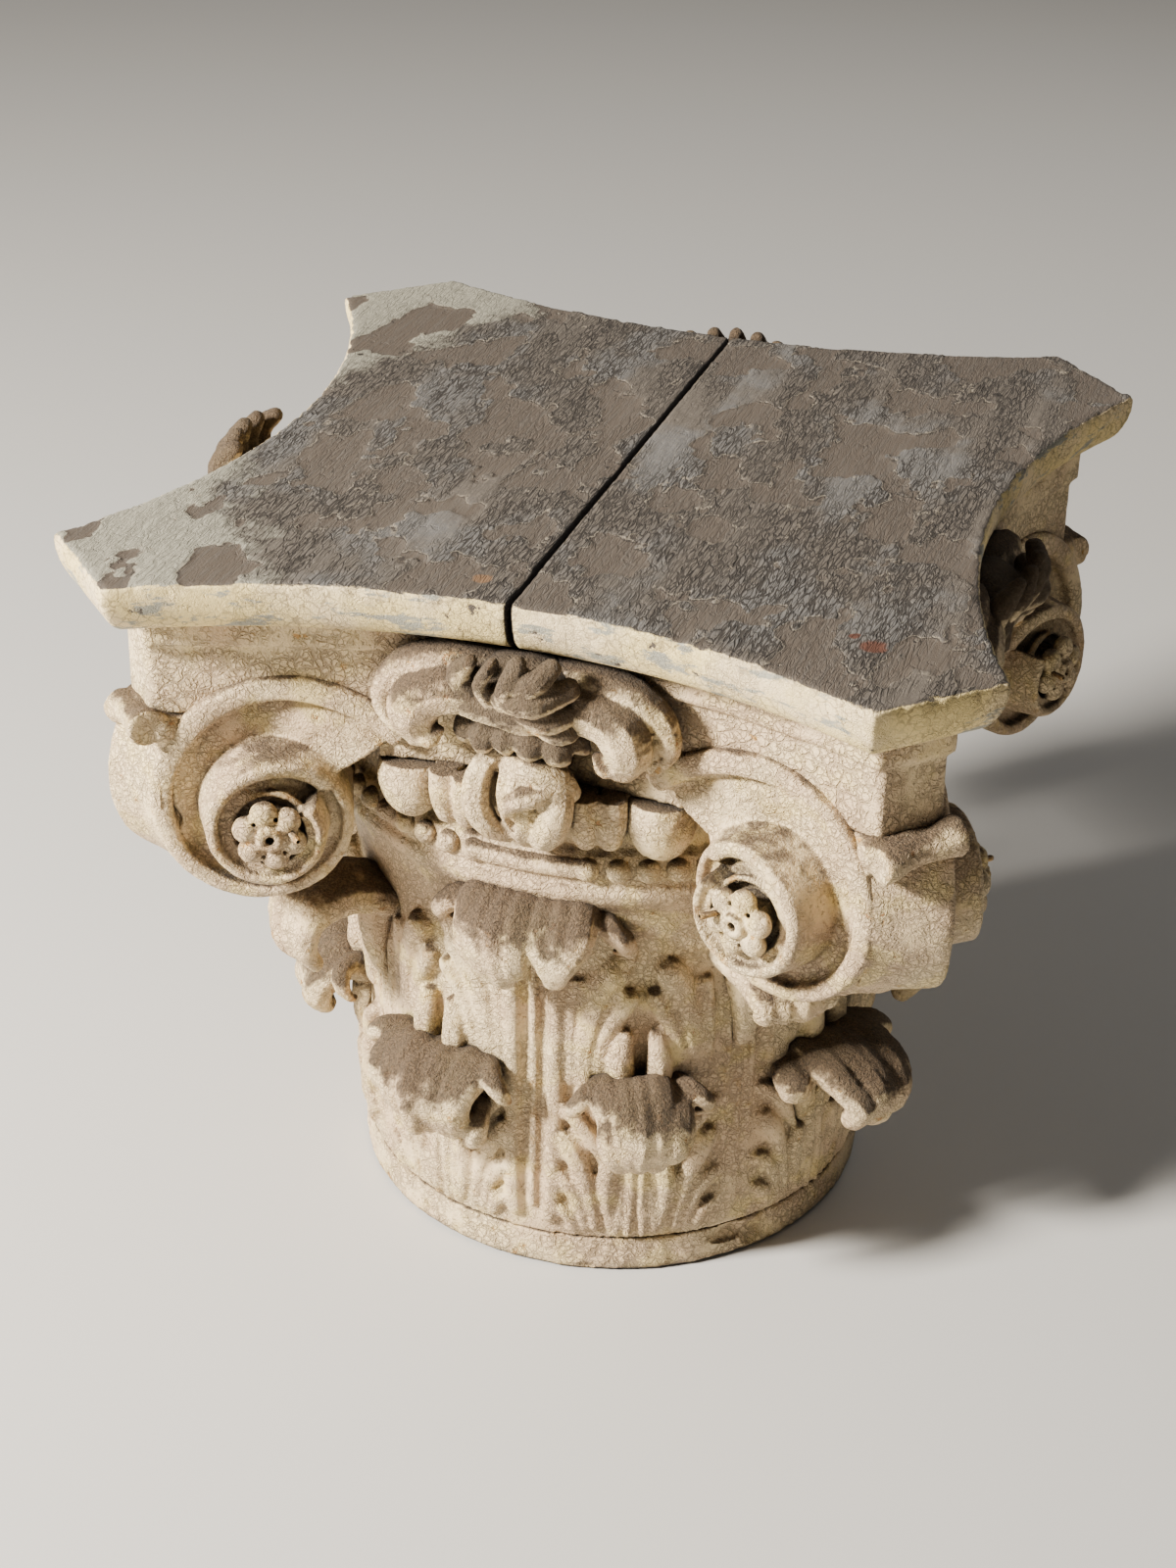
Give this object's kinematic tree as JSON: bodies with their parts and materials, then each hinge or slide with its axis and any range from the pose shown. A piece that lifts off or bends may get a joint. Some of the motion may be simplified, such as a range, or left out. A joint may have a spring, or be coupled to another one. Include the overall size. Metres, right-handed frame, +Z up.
{
  "type": "composite column capital",
  "caption": "Carved and painted wooden column capital with a hollow-sided abacus, angled corner scrolls, an egg-and-dart band and tiers of acanthus leaves, for the top of a round shaft.",
  "frame": {"origin": "centre of the flat underside, on the axis of the shaft", "axes": "+Z up, +X to the right and -Y towards the front face; the seam between the two boards runs along Y"},
  "size_m": [0.61, 0.61, 0.542],
  "materials": {
    "board_paint": "weathered boards with cracked, flaking grey paint and bare brown patches, cream on the moulded edge",
    "carving_paint": "old cream oil paint, finely crackled, with brown dust on the ledges and dirt in the hollows",
    "foot_paint": "old cream oil paint, crackled and rubbed, chipped at the lower edge"
  },
  "bodies": {
    "root": {"abacus_board_left": "board_paint", "abacus_board_right": "board_paint", "capital_body": "carving_paint", "foot_board": "foot_paint"}
  },
  "joints": []
}
